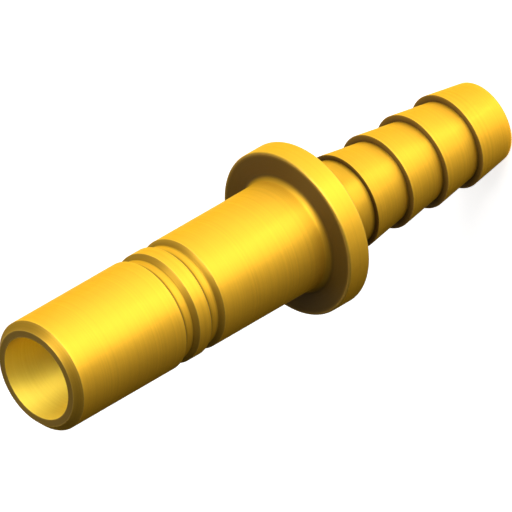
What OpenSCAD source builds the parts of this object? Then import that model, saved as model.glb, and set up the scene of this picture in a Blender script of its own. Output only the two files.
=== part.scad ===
// Hose to stem adapter, turned in one piece from brass bar.
// The barbed hose tail points down and the grooved stem points up, along +Z.
// The origin is the centre of the hose tail's end face, on the turning axis.

/* [Stem] */
// Outside diameter of the stem
stem_d = 15; // [14:0.1:19]
// Length of the stem, from the flange to its end face
stem_len = 44; // [32:0.5:90]
// Leg of the 45 degree chamfer round the stem's end
stem_chamfer = 0.95; // [0.2:0.05:1.2]
// Radius of the fillet between the stem and the flange
stem_fillet_r = 1; // [0.2:0.1:1.5]

/* [Grip grooves] */
// Number of grooves round the stem
groove_count = 2; // [1:1:3]
// Distance from the stem's end face to the middle of the first groove
groove_from_end = 20.05; // [4:0.05:34]
// Distance between the middles of neighbouring grooves
groove_pitch = 4.4; // [3.4:0.1:5]
// Width of a groove's flat floor, between its 45 degree walls
groove_floor_w = 1.25; // [0.4:0.05:1.6]
// Depth of a groove
groove_depth = 0.6; // [0.2:0.05:0.8]

/* [Flange] */
// Outside diameter of the flange
flange_d = 22.4; // [18:0.1:40]
// Thickness of the flange
flange_t = 3.5; // [2:0.1:10]
// Radius of the flange's rounded rim edges
flange_edge_r = 0.3; // [0.1:0.05:0.9]

/* [Hose tail] */
// Diameter of the plain neck between the flange and the barbs
neck_d = 11.5; // [10:0.1:12.6]
// Length of the plain neck
neck_len = 6.4; // [2:0.1:20]
// Radius of the fillet between the neck and the flange
neck_fillet_r = 0.5; // [0.1:0.1:1.5]
// Number of barbs
barb_count = 4; // [1:1:8]
// Length of one barb, from its thin end to its crest
barb_pitch = 6.2; // [2:0.1:12]
// Diameter of a barb's sharp crest
barb_crest_d = 12.9; // [11.8:0.1:15]
// Diameter of a barb's thin end
barb_root_d = 11; // [9.8:0.1:11.6]
// Radius of the rounded edge round the hose tail's end face
tip_edge_r = 0.3; // [0.1:0.05:0.6]

/* [Bores] */
// Diameter of the bore in the stem
stem_bore_d = 11.2; // [8.6:0.1:11.6]
// Diameter of the bore through the hose tail
tail_bore_d = 8; // [5:0.1:8.4]
// Distance from the flange's stem side to the full-width end of the stem's bore
bore_setback = 1; // [0.5:0.1:12]
// Full point angle of the drill that cuts the stem's bore
drill_angle = 118; // [90:1:135]

/* [Hidden] */

stem_r = stem_d / 2;
flange_r = flange_d / 2;
neck_r = neck_d / 2;
barb_crest_r = barb_crest_d / 2;
barb_root_r = barb_root_d / 2;
stem_bore_r = stem_bore_d / 2;
tail_bore_r = tail_bore_d / 2;

// Heights along the turning axis, from the hose tail's end face upwards
barbs_top = barb_count * barb_pitch;
flange_base = barbs_top + neck_len;
stem_base = flange_base + flange_t;
stem_top = stem_base + stem_len;
bore_step_top = stem_base + bore_setback;
bore_step_base = bore_step_top - (stem_bore_r - tail_bore_r) / tan(drill_angle / 2);

// The circle that rounds the tip's edge: its centre's radius, and the point at
// which it touches the cone
barb_taper = atan((barb_crest_r - barb_root_r) / barb_pitch);
tip_round_x = barb_root_r - tip_edge_r * (1 - sin(barb_taper)) / cos(barb_taper);
tip_touch_x = tip_round_x + tip_edge_r * cos(barb_taper);
tip_touch_y = tip_edge_r * (1 - sin(barb_taper));

// How far a cut runs past the face that it opens, and a section into the next
overlap = 0.2;
// Facets round the turning axis, and round a fillet's circle
turn_facets = 144;
fillet_facets = 48;

// Every section below is half of a cut through the axis: X is the radius and
// Y is the height.

// Fills an inside corner at the origin, whose open quarter is +X +Y.
module inside_fillet(r) {
    difference() {
        translate([-overlap, -overlap])
            square(r + overlap);
        translate([r, r])
            circle(r, $fn = fillet_facets);
    }
}

// What is cut away to round an outside corner at the origin, whose metal
// lies in the -X -Y quarter.
module outside_round(r) {
    difference() {
        translate([-r, -r])
            square(r + overlap);
        translate([-r, -r])
            circle(r, $fn = fillet_facets);
    }
}

module stem_section() {
    polygon([
        [0, stem_base - overlap],
        [stem_r, stem_base - overlap],
        [stem_r, stem_top - stem_chamfer],
        [stem_r - stem_chamfer, stem_top],
        [0, stem_top]
    ]);
}

// One groove with 45 degree walls, its middle at height 0.
module groove_section() {
    floor_half = groove_floor_w / 2;
    mouth_half = floor_half + groove_depth + overlap;
    polygon([
        [stem_r - groove_depth, -floor_half],
        [stem_r + overlap, -mouth_half],
        [stem_r + overlap, mouth_half],
        [stem_r - groove_depth, floor_half]
    ]);
}

module grooves_section() {
    for (i = [0 : groove_count - 1])
        translate([0, stem_top - groove_from_end - i * groove_pitch])
            groove_section();
}

module flange_section() {
    difference() {
        translate([0, flange_base])
            square([flange_r, flange_t]);
        translate([flange_r, stem_base])
            outside_round(flange_edge_r);
        translate([flange_r, flange_base])
            mirror([0, 1])
                outside_round(flange_edge_r);
    }
}

// The barbs widen from the end face upwards, and each one ends in a square
// step towards the flange. The plain neck runs on into the flange.
module barbs_and_neck() {
    polygon([
        [0, 0],
        for (i = [0 : barb_count - 1])
            each [
                [barb_root_r, i * barb_pitch],
                [barb_crest_r, (i + 1) * barb_pitch]
            ],
        [neck_r, barbs_top],
        [neck_r, flange_base + overlap],
        [0, flange_base + overlap]
    ]);
}

// What is cut away to round the sharp edge round the end face, with a circle
// that touches both the end face and the first barb's cone.
module tip_round() {
    difference() {
        polygon([
            [tip_round_x, -overlap],
            [tip_round_x, tip_edge_r],
            [tip_touch_x, tip_touch_y],
            [tip_touch_x + overlap, -overlap]
        ]);
        translate([tip_round_x, tip_edge_r])
            circle(tip_edge_r, $fn = fillet_facets);
    }
}

module hose_tail_section() {
    difference() {
        barbs_and_neck();
        tip_round();
    }
}

module fillets_section() {
    translate([stem_r, stem_base])
        inside_fillet(stem_fillet_r);
    translate([neck_r, flange_base])
        mirror([0, 1])
            inside_fillet(neck_fillet_r);
}

// The stem's bore is drilled from the stem's end, and its drill point leads
// into the narrower bore that runs on through the hose tail.
module bore_section() {
    polygon([
        [-overlap, -overlap],
        [tail_bore_r, -overlap],
        [tail_bore_r, bore_step_base],
        [stem_bore_r, bore_step_top],
        [stem_bore_r, stem_top + overlap],
        [-overlap, stem_top + overlap]
    ]);
}

module adapter_body() {
    color("goldenrod")
        rotate_extrude($fn = turn_facets)
            difference() {
                union() {
                    hose_tail_section();
                    flange_section();
                    stem_section();
                    fillets_section();
                }
                grooves_section();
                bore_section();
            }
}

adapter_body();
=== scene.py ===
import math

import bmesh
import bpy
from mathutils import Matrix, Quaternion, Vector

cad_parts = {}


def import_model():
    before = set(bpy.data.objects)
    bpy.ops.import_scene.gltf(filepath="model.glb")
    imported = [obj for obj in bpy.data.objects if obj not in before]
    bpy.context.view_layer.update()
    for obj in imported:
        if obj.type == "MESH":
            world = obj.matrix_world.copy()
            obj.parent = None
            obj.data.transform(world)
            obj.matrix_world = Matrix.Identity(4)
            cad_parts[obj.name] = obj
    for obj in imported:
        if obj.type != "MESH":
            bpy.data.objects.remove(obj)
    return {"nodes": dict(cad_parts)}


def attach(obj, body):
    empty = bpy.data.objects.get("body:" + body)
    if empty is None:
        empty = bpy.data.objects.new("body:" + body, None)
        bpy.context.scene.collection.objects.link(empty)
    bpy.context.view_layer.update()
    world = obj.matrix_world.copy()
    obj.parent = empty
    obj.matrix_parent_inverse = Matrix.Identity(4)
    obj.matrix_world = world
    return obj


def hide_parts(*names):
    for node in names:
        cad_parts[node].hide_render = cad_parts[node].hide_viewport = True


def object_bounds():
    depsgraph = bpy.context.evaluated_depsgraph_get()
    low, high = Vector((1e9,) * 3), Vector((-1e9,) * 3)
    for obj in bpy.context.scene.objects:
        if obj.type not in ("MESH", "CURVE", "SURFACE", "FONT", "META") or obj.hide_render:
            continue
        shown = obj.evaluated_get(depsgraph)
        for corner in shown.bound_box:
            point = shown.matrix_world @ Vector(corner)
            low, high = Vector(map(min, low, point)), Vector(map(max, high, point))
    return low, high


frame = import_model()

MM = 0.001
TINY = 0.001 * MM
CAD_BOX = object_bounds()

# The one turned piece: its node in the CAD and its roundness
NODE = "adapter_body"
SPIN_STEPS = 256

# A small arc breaks each corner of the outline that turns by more than SHARP_TURN
EDGE_BREAK = 0.05 * MM
EDGE_STEPS = 4
SHARP_TURN = math.radians(12)
# The most of a stretch of the outline that an arc or a fade takes up at each end
END_SHARE = 1 / 3

# Where the finish changes: at worn outer edges and in the bore, and where shade is
# painted darker, in sharp recesses
FADE_POINTS = (0.12 * MM, 0.35 * MM, 0.9 * MM)
WORN_RADIUS = 0.5 * MM
WORN_REACH = 0.12 * MM
RECESS_RADIUS = 0.6 * MM
RECESS_REACH = 0.15 * MM
FACING_IN = 0.1

# The colours of the brass. The bored one is painted light: lighter and paler than the
# rest.
# The dark one stands for real tarnishing in stains and marks, and for painted shade on the
# faces across the axis, in recesses and far inside the bore.
BRASS = (1.0, 0.565, 0.041)
BRASS_WORN = (1.0, 0.62, 0.1)
BRASS_LIGHTENED_IN_BORE = (1.0, 0.77, 0.1)
BRASS_TARNISH_AND_SHADE = (0.075, 0.042, 0.006)
BRASS_AT_GRAZING = (1.0, 0.8, 0.4)

# The turning marks run round the axis, in fine marks and wider bands
MARKS_PER_MM = 2.4
MARK_DETAIL = 3.0
MARK_HARSHNESS = 0.6
BANDS_PER_MM = 0.3
BAND_DETAIL = 1.0
BAND_RELIEF = 0.5
MARK_DEPTH = 0.006 * MM
ANISOTROPY = 0.8
ACROSS_THE_MARKS = 0.25

# How much the brass darkens: real tarnishing in stains and in the marks, and painted
# shade in recesses, on the faces across the axis, and far inside the bore
STAIN_SIZE = 7 * MM
STAIN_DETAIL = 3.0
STAIN_TARNISH = 0.08
MARK_TARNISH = 0.18
BORE_MARK_TARNISH = 0.08
RECESS_SHADE = 0.6
FACE_SHADE = 1.0
FACE_SHADE_ONSET = 1.6
DEEP_FROM = 6 * MM
DEEP_TO = 20 * MM
DEEP_SHADE = 0.35
EDGE_WEAR = 0.2

# The sheen of the brass: on its sides, on the dull faces across the axis, and in
# the bore
ROUGHNESS = 0.46
SMOOTHEST = 0.38
STAIN_ROUGHNESS = 0.1
MARK_ROUGHNESS = 0.15
WORN_ROUGHNESS = -0.08
DULL_ONSET = 4.0
DULL_ROUGHNESS = 0.6
DULL_METALLIC = 0.1
DULL_SHEEN = 0.2
BORE_ROUGHNESS = 0.6
BORE_METALLIC = 0.9

# The camera: a true isometric view onto the axis, seen through a long lens
IMAGE_PIXELS = 512
PIXELS_PER_MM = 8.0
FRAME_WIDTH = IMAGE_PIXELS / PIXELS_PER_MM * MM
CAMERA_ELEVATION = math.atan(1 / math.sqrt(2))
CAMERA_ROLL = math.radians(-120)
LENS_MM = 1600.0
SENSOR_MM = 36.0
AIM_HEIGHT = 40.47 * MM
AIM_ASIDE = -0.449 * MM

# The floor, and the even light from all round
FLOOR_SIZE = 4.0
FLOOR_WHITE = 0.8
FLOOR_GLOW = 0.74
WORLD_LIGHT = 0.12
WHITE = (1.0, 1.0, 1.0, 1.0)

# A card that only the brass mirrors: a painted reflection, white on the camera's side and
# fading to dark round the -X side, which paints shade on the brass there. A bearing is
# counted in degrees from the camera's side of the object towards +X, and an elevation in
# degrees from the floor.
CARD_BEARINGS = (-15, -190)
CARD_STEPS = 30
CARD_FADE = 50
CARD_REACH = (5.7 * MM, 1900 * MM)
CARD_RISE = 85
CARD_RISE_STEPS = 8
CARD_LIFT = 0.2 * MM

# The lamps, in degrees, metres and watts. A spread below 180 degrees is that of a
# grid in front of the lamp.
MID_HEIGHT = Vector((0, 0, 40 * MM))
BARBS = Vector((0, 0, 8 * MM))
LAMPS = (
    {
        "name": "key", "bearing": 38, "elevation": 50, "distance": 0.5,
        "width": 0.32, "height": 0.2, "power": 1.75, "target": MID_HEIGHT, "spread": 180,
    },
    {
        "name": "front", "bearing": 4, "elevation": 12, "distance": 0.5,
        "width": 0.36, "height": 0.2, "power": 0.8, "target": MID_HEIGHT, "spread": 180,
    },
    {
        "name": "side", "bearing": 75, "elevation": 58, "distance": 0.5,
        "width": 0.3, "height": 0.3, "power": 0.6, "target": MID_HEIGHT, "spread": 180,
    },
    {
        "name": "barbs", "bearing": 20, "elevation": 10, "distance": 0.2,
        "width": 0.06, "height": 0.03, "power": 0.0017, "target": BARBS, "spread": 24,
    },
)


def merged_copy(node):
    """A bmesh of a CAD node's mesh with its split corners joined again."""
    mesh = bmesh.new()
    mesh.from_mesh(frame["nodes"][node].data)
    bmesh.ops.remove_doubles(mesh, verts=mesh.verts, dist=TINY)
    return mesh


def cad_outline(node):
    """The closed half section of a turned node, as (radius, height) points in order.

    It starts at the lowest point that is nearest the axis, and runs anticlockwise.
    """
    mesh = merged_copy(node)
    on_seam = {v for v in mesh.verts if v.co.x > 0 and abs(v.co.y) < TINY}
    start = min(on_seam, key=lambda v: (round(v.co.z / TINY), v.co.x))
    points = []
    here = start
    came_from = None
    while True:
        points.append(Vector((here.co.x, here.co.z)))
        nearby = [e.other_vert(here) for e in here.link_edges]
        nearby = [v for v in nearby if v in on_seam and v is not came_from]
        if came_from is None:
            nearby = [v for v in nearby if abs(v.co.z - start.co.z) < TINY]
        came_from = here
        here = nearby[0]
        if here is start:
            break
    mesh.free()
    return points


def outward(start, end):
    """The outward normal of one stretch of an outline that runs anticlockwise."""
    along = (end - start).normalized()
    return Vector((along.y, -along.x))


def is_sharp(before, corner, after):
    """Whether the outline turns sharply at a corner."""
    return outward(before, corner).angle(outward(corner, after)) > SHARP_TURN


def rounded_corner(before, corner, after, radius):
    """An arc that touches both stretches at a corner, as (point, normal) pairs."""
    back = (before - corner).normalized()
    ahead = (after - corner).normalized()
    half = math.acos(max(-1.0, min(1.0, back.dot(ahead)))) / 2
    longest = min((before - corner).length, (after - corner).length) * END_SHARE
    reach = min(radius / math.tan(half), longest)
    radius = reach * math.tan(half)
    centre = corner + (back + ahead).normalized() * (radius / math.sin(half))
    first = corner + back * reach - centre
    last = corner + ahead * reach - centre
    sweep = first.angle_signed(last)
    side = 1 if outward(before, corner).dot(first) > 0 else -1
    arc = []
    for step in range(EDGE_STEPS + 1):
        spoke = Matrix.Rotation(-sweep * step / EDGE_STEPS, 2) @ first
        arc.append((centre + spoke, spoke.normalized() * side))
    return arc


def broken_outline(points, radius):
    """The outline with a small round at each sharp corner, as (point, normal) pairs."""
    rows = []
    for i, corner in enumerate(points):
        before = points[i - 1]
        after = points[(i + 1) % len(points)]
        if is_sharp(before, corner, after):
            rows += rounded_corner(before, corner, after, radius)
        else:
            blend = outward(before, corner) * (corner - before).length
            blend += outward(corner, after) * (after - corner).length
            rows.append((corner, blend.normalized()))
    return rows


def with_fade_points(rows):
    """Adds rows near the ends of each long stretch, so that a finish can fade there."""
    fuller = []
    for (start, normal), (end, end_normal) in zip(rows, rows[1:] + rows[:1]):
        fuller.append((start, normal))
        length = (end - start).length
        near = [d for d in FADE_POINTS if d < length * END_SHARE]
        for d in near + [length - d for d in reversed(near)]:
            blend = normal.lerp(end_normal, d / length).normalized()
            fuller.append((start.lerp(end, d / length), blend))
    return fuller


def run_along(rows):
    """How far each row lies along the outline, in millimetres."""
    run = [0.0]
    for (a, _), (b, _) in zip(rows, rows[1:]):
        run.append(run[-1] + (b - a).length / MM)
    return run


def bends(rows):
    """How sharply the outline bends at each row, in 1/m: above 0 at an outer edge."""
    bend = []
    for i in range(len(rows)):
        before, before_normal = rows[i - 1]
        after, after_normal = rows[(i + 1) % len(rows)]
        turn = after_normal.angle_signed(before_normal)
        bend.append(turn / (after - before).length)
    return bend


def fading(rows, seeds, reach):
    """1 at the seed rows, fading along the outline from them."""
    run = run_along(rows)
    marks = [run[i] for i in seeds]
    return [math.exp(-min(abs(x - m) for m in marks) / (reach / MM)) for x in run]


def faced(rows):
    """How far each row faces along the axis: 0 on the sides, 1 on the faces across it."""
    return [abs(normal.y) for _, normal in rows]


def in_bore(rows):
    """1 for the rows inside the bore, which face the axis, else 0."""
    return [1.0 if normal.x < -FACING_IN else 0.0 for _, normal in rows]


def mesh_object(name, verts, faces):
    """A new object in the scene with a mesh of its own."""
    mesh = bpy.data.meshes.new(name)
    mesh.from_pydata(verts, [], faces)
    made = bpy.data.objects.new(name, mesh)
    bpy.context.scene.collection.objects.link(made)
    return made


def turned_piece(name, rows):
    """Spins the outline round the Z axis into one closed mesh with exact normals."""
    count = len(rows)
    verts = []
    normals = []
    for step in range(SPIN_STEPS):
        angle = 2 * math.pi * step / SPIN_STEPS
        c = math.cos(angle)
        s = math.sin(angle)
        for point, normal in rows:
            verts.append((point.x * c, point.x * s, point.y))
            normals.append((normal.x * c, normal.x * s, normal.y))
    faces = []
    for step in range(SPIN_STEPS):
        here = step * count
        there = (step + 1) % SPIN_STEPS * count
        for i in range(count):
            j = (i + 1) % count
            faces.append((here + i, there + i, there + j, here + j))
    piece = mesh_object(name, verts, faces)
    piece.data.shade_smooth()
    piece.data.normals_split_custom_set_from_vertices(normals)
    return piece


def row_attribute(piece, name, values):
    """Stores one number for each row of the outline on the spun mesh."""
    attribute = piece.data.attributes.new(name, "FLOAT", "POINT")
    attribute.data.foreach_set("value", list(values) * SPIN_STEPS)


def finish_zones(piece, rows):
    """Stores where the piece is worn, recessed and bored, for its material."""
    bend = bends(rows)
    worn = [i for i, b in enumerate(bend) if b > 1 / WORN_RADIUS]
    recess = [i for i, b in enumerate(bend) if b < -1 / RECESS_RADIUS]
    row_attribute(piece, "along", run_along(rows))
    row_attribute(piece, "worn", fading(rows, worn, WORN_REACH))
    row_attribute(piece, "recess", fading(rows, recess, RECESS_REACH))
    row_attribute(piece, "faced", faced(rows))
    row_attribute(piece, "bored", in_bore(rows))


class Nodes:
    """Adds shader nodes to one tree, with their settings and links in one call."""

    def __init__(self, owner):
        owner.use_nodes = True
        self.tree = owner.node_tree
        self.tree.nodes.clear()

    def add(self, kind, inputs=None, **settings):
        """A new node. An input is the socket that it is linked to, or its value."""
        node = self.tree.nodes.new("ShaderNode" + kind)
        for key, value in settings.items():
            setattr(node, key, value)
        for key, value in (inputs or {}).items():
            if isinstance(value, bpy.types.NodeSocket):
                self.tree.links.new(value, node.inputs[key])
            else:
                node.inputs[key].default_value = value
        return node

    def attribute(self, name):
        """The socket of a number that the mesh stores."""
        return self.add("Attribute", attribute_name=name).outputs["Fac"]

    def math(self, operation, *values):
        """The result of a Math node."""
        inputs = dict(enumerate(values))
        return self.add("Math", inputs, operation=operation).outputs[0]

    def mix(self, factor, first, second):
        """A colour mix. A is socket 6 and B is socket 7 of a mix node set to colours."""
        inputs = {0: factor, 6: first, 7: second}
        return self.add("Mix", inputs, data_type="RGBA").outputs[2]


def rgba(colour):
    """A colour with the fourth number that a socket wants."""
    return (*colour, 1.0)


def turning_marks(nodes, along):
    """Fine marks and wider bands, which change only along the outline."""
    marks = nodes.add("TexNoise", {
        "W": along,
        "Scale": MARKS_PER_MM,
        "Detail": MARK_DETAIL,
        "Roughness": MARK_HARSHNESS,
    }, noise_dimensions="1D")
    bands = nodes.add("TexNoise", {
        "W": along,
        "Scale": BANDS_PER_MM,
        "Detail": BAND_DETAIL,
    }, noise_dimensions="1D")
    return marks.outputs["Fac"], bands.outputs["Fac"]


def depth_in_bore(nodes, place):
    """Painted shade far inside the bore: 0 near both ends of the bore, and its full amount
    from DEEP_TO inwards.
    """
    height = nodes.add("SeparateXYZ", {"Vector": place}).outputs["Z"]
    from_top = nodes.math("SUBTRACT", CAD_BOX[1][2], height)
    deep = nodes.add("MapRange", {
        "Value": nodes.math("MINIMUM", height, from_top),
        "From Min": DEEP_FROM,
        "From Max": DEEP_TO,
        "To Min": 0.0,
        "To Max": DEEP_SHADE,
    }, interpolation_type="SMOOTHSTEP")
    return deep.outputs["Result"]


def turned_brass():
    """Satin brass with turning marks, worn edges, dull cross faces and some real
    tarnishing, with painted shade on the cross faces, in recesses and far inside the bore,
    and painted light as a paler colour in the bore.
    """
    material = bpy.data.materials.new("turned_brass")
    nodes = Nodes(material)
    worn = nodes.attribute("worn")
    recess = nodes.attribute("recess")
    across = nodes.attribute("faced")
    bored = nodes.attribute("bored")
    place = nodes.add("TexCoord").outputs["Object"]
    marks, bands = turning_marks(nodes, nodes.attribute("along"))
    stains = nodes.add("TexNoise", {
        "Vector": place,
        "Scale": 1 / STAIN_SIZE,
        "Detail": STAIN_DETAIL,
    }).outputs["Fac"]

    # Painted shade: the faces across the axis are painted darker
    face_shade = nodes.math("POWER", across, FACE_SHADE_ONSET)
    face_shade = nodes.math("MULTIPLY", face_shade, FACE_SHADE)
    # Painted shade: the brass is painted darker at the inner corners of the outline
    recess_shade = nodes.math("MULTIPLY", recess, RECESS_SHADE)
    tarnish_and_shade = nodes.math("MAXIMUM", face_shade, recess_shade)
    tarnish_and_shade = nodes.math("MULTIPLY_ADD", stains, STAIN_TARNISH, tarnish_and_shade)
    less_in_bore = BORE_MARK_TARNISH - MARK_TARNISH
    in_marks = nodes.math("MULTIPLY_ADD", bored, less_in_bore, MARK_TARNISH)
    tarnish_and_shade = nodes.math("MULTIPLY_ADD", marks, in_marks, tarnish_and_shade)
    # Painted shade: the brass is painted darker far inside the bore
    deep = depth_in_bore(nodes, place)
    tarnish_and_shade = nodes.math("MULTIPLY_ADD", bored, deep, tarnish_and_shade)

    # Painted light: a lighter, paler brass inside the bore
    colour = nodes.mix(bored, rgba(BRASS), rgba(BRASS_LIGHTENED_IN_BORE))
    # Darkens towards the dark brass: real tarnishing in stains and marks, and painted
    # shade on the faces, in recesses and far inside the bore
    colour = nodes.mix(tarnish_and_shade, colour, rgba(BRASS_TARNISH_AND_SHADE))
    wear = nodes.math("MULTIPLY", worn, EDGE_WEAR)
    colour = nodes.mix(wear, colour, rgba(BRASS_WORN))

    dull = nodes.math("POWER", across, DULL_ONSET)
    roughness = nodes.math("MULTIPLY_ADD", stains, STAIN_ROUGHNESS, SMOOTHEST)
    roughness = nodes.math("MULTIPLY_ADD", marks, MARK_ROUGHNESS, roughness)
    roughness = nodes.math("MULTIPLY_ADD", worn, WORN_ROUGHNESS, roughness)
    roughness = nodes.math("MULTIPLY_ADD", dull, DULL_ROUGHNESS - ROUGHNESS, roughness)
    roughness = nodes.math("MULTIPLY_ADD", bored, BORE_ROUGHNESS - ROUGHNESS, roughness)
    metallic = nodes.math("MULTIPLY_ADD", bored, BORE_METALLIC - 1, 1.0)
    metallic = nodes.math("MULTIPLY_ADD", dull, DULL_METALLIC - 1, metallic)
    metallic = nodes.math("MAXIMUM", metallic, 0.0)

    relief = nodes.math("MULTIPLY_ADD", bands, BAND_RELIEF, marks)
    bump = nodes.add("Bump", {"Height": relief, "Distance": MARK_DEPTH, "Strength": 1.0})
    tangent = nodes.add("Tangent", direction_type="RADIAL", axis="Z")
    shader = nodes.add("BsdfPrincipled", {
        "Base Color": colour,
        "Metallic": metallic,
        "Roughness": roughness,
        "Specular Tint": rgba(BRASS_AT_GRAZING),
        "Specular IOR Level": DULL_SHEEN,
        "Anisotropic": ANISOTROPY,
        "Anisotropic Rotation": ACROSS_THE_MARKS,
        "Normal": bump.outputs["Normal"],
        "Tangent": tangent.outputs["Tangent"],
    })
    nodes.add("OutputMaterial", {"Surface": shader.outputs["BSDF"]})
    return material


def camera():
    """Looks down on the stem's open end, rolled so that the stem points lower left."""
    data = bpy.data.cameras.new("camera")
    data.lens = LENS_MM
    data.sensor_width = SENSOR_MM
    distance = FRAME_WIDTH * LENS_MM / SENSOR_MM
    data.clip_start = distance / 2
    data.clip_end = distance * 2
    back = Vector((0, -math.cos(CAMERA_ELEVATION), math.sin(CAMERA_ELEVATION)))
    eye = bpy.data.objects.new("camera", data)
    eye.location = Vector((AIM_ASIDE, 0, AIM_HEIGHT)) + back * distance
    eye.rotation_mode = "QUATERNION"
    level = (-back).to_track_quat("-Z", "Y")
    eye.rotation_quaternion = level @ Quaternion((0, 0, 1), CAMERA_ROLL)
    bpy.context.scene.collection.objects.link(eye)
    bpy.context.scene.camera = eye


def direction(bearing, elevation):
    """The unit vector towards a bearing and an elevation in degrees."""
    turn = math.radians(bearing)
    rise = math.radians(elevation)
    flat = math.cos(rise)
    return Vector((math.sin(turn) * flat, -math.cos(turn) * flat, math.sin(rise)))


def seen_directly(nodes):
    """1 for the camera, and for what metal and glass show, else 0."""
    rays = nodes.add("LightPath").outputs
    seen = nodes.math("MAXIMUM", rays["Is Camera Ray"], rays["Is Glossy Ray"])
    return nodes.math("MAXIMUM", seen, rays["Is Transmission Ray"])


def glowing_paint(nodes, colour, glow):
    """Matt paint with a white glow of its own."""
    shader = nodes.add("BsdfPrincipled", {
        "Base Color": colour,
        "Roughness": 1.0,
        "Specular IOR Level": 0.0,
        "Emission Color": WHITE,
        "Emission Strength": glow,
    })
    nodes.add("OutputMaterial", {"Surface": shader.outputs["BSDF"]})


def floor():
    """A white floor. It glows a little for the camera, and for what mirrors it."""
    h = FLOOR_SIZE / 2
    corners = [(-h, -h, 0), (h, -h, 0), (h, h, 0), (-h, h, 0)]
    sheet = mesh_object("floor", corners, [(0, 1, 2, 3)])
    material = bpy.data.materials.new("white_floor")
    nodes = Nodes(material)
    glow = nodes.math("MULTIPLY", seen_directly(nodes), FLOOR_GLOW)
    glowing_paint(nodes, rgba([FLOOR_WHITE] * 3), glow)
    sheet.data.materials.append(material)


def painted_reflection_card():
    """A card on the floor and up round the -X side, seen only in the brass's mirroring,
    where it paints a reflection and shade on the brass's -X side.

    It is as white as the floor on the camera's side, and fades towards black from
    there round the -X side to the back.
    """
    near, far = CARD_REACH
    first, last = CARD_BEARINGS
    lift = Vector((0, 0, CARD_LIFT))
    verts = []
    greys = []
    for i in range(CARD_STEPS + 1):
        bearing = first + (last - first) * i / CARD_STEPS
        strip = [direction(bearing, 0) * near]
        for j in range(CARD_RISE_STEPS + 1):
            strip.append(direction(bearing, CARD_RISE * j / CARD_RISE_STEPS) * far)
        verts += [point + lift for point in strip]
        greys += [math.exp((bearing - first) / CARD_FADE)] * len(strip)
    count = CARD_RISE_STEPS + 2
    faces = []
    for i in range(CARD_STEPS):
        for j in range(count - 1):
            here = i * count + j
            faces.append((here, here + 1, here + count + 1, here + count))
    card = mesh_object("painted_reflection_card", verts, faces)
    attribute = card.data.attributes.new("grey", "FLOAT", "POINT")
    attribute.data.foreach_set("value", greys)
    card.visible_camera = False
    card.visible_diffuse = False
    card.visible_shadow = False
    material = bpy.data.materials.new("painted_reflection_card")
    nodes = Nodes(material)
    grey = nodes.attribute("grey")
    paint = nodes.math("MULTIPLY", grey, FLOOR_WHITE)
    glowing_paint(nodes, paint, nodes.math("MULTIPLY", grey, FLOOR_GLOW))
    card.data.materials.append(material)


def softbox(name, bearing, elevation, distance, width, height, power, target, spread):
    """A rectangular lamp that faces its target and that the camera doesn't see."""
    data = bpy.data.lights.new(name, "AREA")
    data.shape = "RECTANGLE"
    data.size = width
    data.size_y = height
    data.energy = power
    data.spread = math.radians(spread)
    box = bpy.data.objects.new(name, data)
    towards = direction(bearing, elevation)
    box.location = target + towards * distance
    box.rotation_mode = "QUATERNION"
    box.rotation_quaternion = (-towards).to_track_quat("-Z", "Y")
    box.visible_camera = False
    bpy.context.scene.collection.objects.link(box)


def world():
    """Faint even light, from a world that the camera and the brass see as white."""
    air = bpy.data.worlds.new("world")
    nodes = Nodes(air)
    seen = seen_directly(nodes)
    strength = nodes.math("MULTIPLY_ADD", seen, 1.0 - WORLD_LIGHT, WORLD_LIGHT)
    light = nodes.add("Background", {"Color": WHITE, "Strength": strength})
    nodes.add("OutputWorld", {"Surface": light.outputs[0]})
    bpy.context.scene.world = air


camera()
rows = with_fade_points(broken_outline(cad_outline(NODE), EDGE_BREAK))
adapter = turned_piece("adapter", rows)
finish_zones(adapter, rows)
adapter.data.materials.append(turned_brass())
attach(adapter, "root")
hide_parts(NODE)

floor()
painted_reflection_card()
for lamp in LAMPS:
    softbox(**lamp)
world()
bpy.context.scene.view_settings.view_transform = "Standard"
